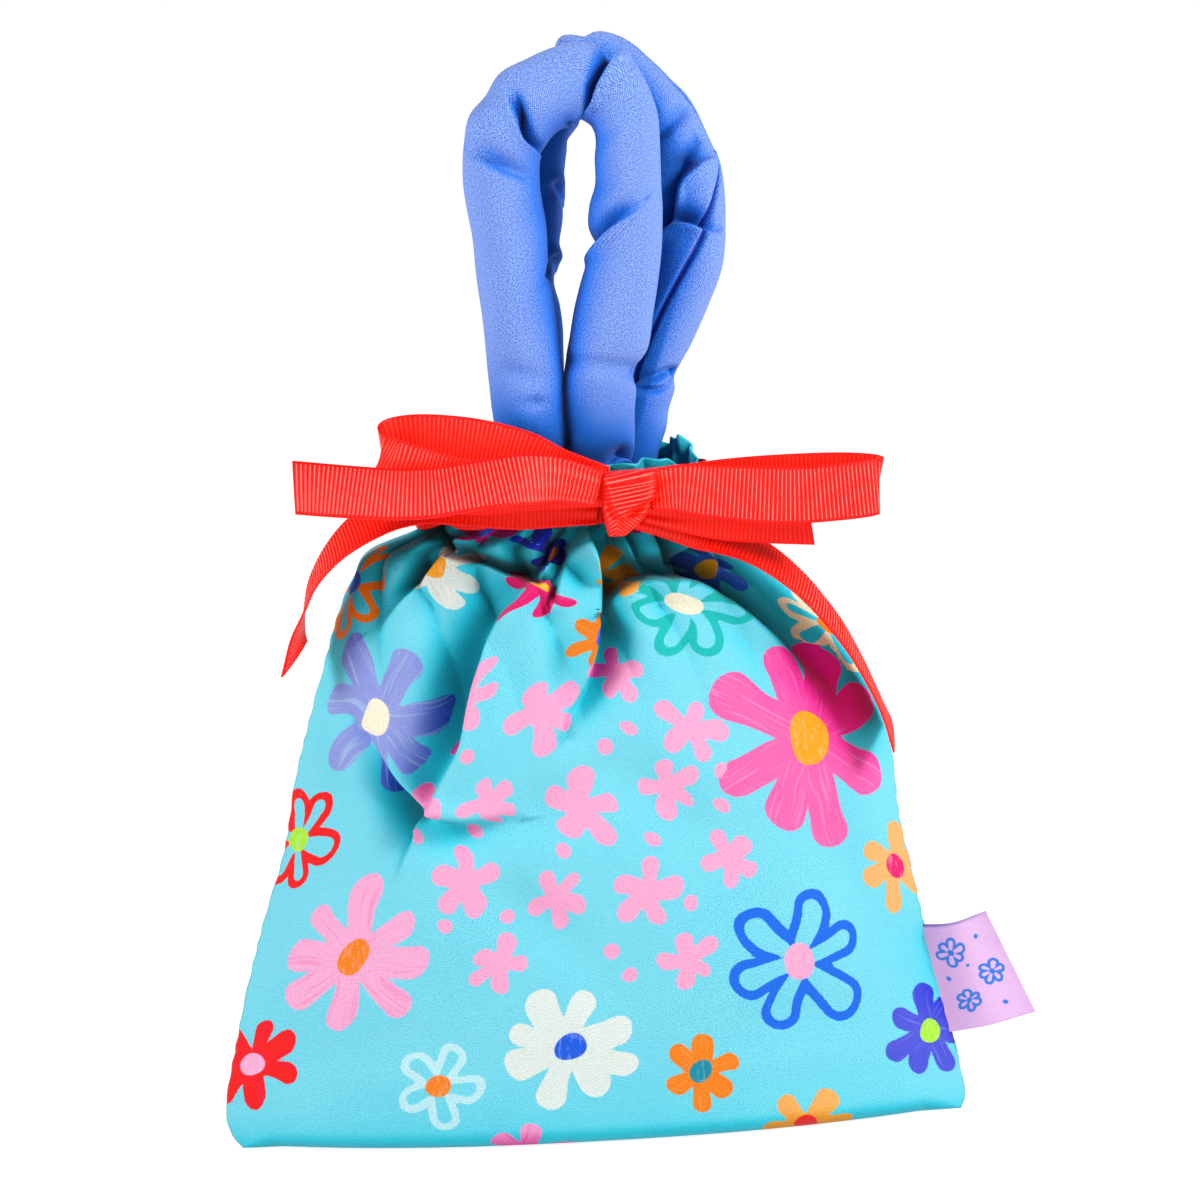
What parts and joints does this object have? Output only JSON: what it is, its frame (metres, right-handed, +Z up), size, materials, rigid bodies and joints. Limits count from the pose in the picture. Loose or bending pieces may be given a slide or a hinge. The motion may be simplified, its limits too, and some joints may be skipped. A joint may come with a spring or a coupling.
{
  "type": "drawstring pouch",
  "caption": "Filled cloth pouch on a flat base, its neck tied with a grosgrain bow, with two stuffed cloth handles and a side label.",
  "frame": {"origin": "on the base, under the middle of the neck, just in front of the bottom seam", "axes": "+Z up, +Y from the front of the pouch to its back, +X to the right as seen from the front"},
  "size_m": [0.237, 0.0777, 0.316],
  "materials": {
    "printed_cloth": "matt",
    "handle_cloth": "matt",
    "grosgrain": "ribbed",
    "satin": "satin"
  },
  "bodies": {
    "root": {"front_panel": "printed_cloth", "back_panel": "printed_cloth", "handle_front": "handle_cloth", "handle_back": "handle_cloth", "neck_ribbon": "grosgrain", "neck_tail_left": "grosgrain", "neck_tail_right": "grosgrain", "bow_loop_left": "grosgrain", "bow_loop_right": "grosgrain", "bow_tail_left": "grosgrain", "bow_tail_right": "grosgrain", "bow_knot": "grosgrain", "side_label": "satin"}
  },
  "joints": []
}
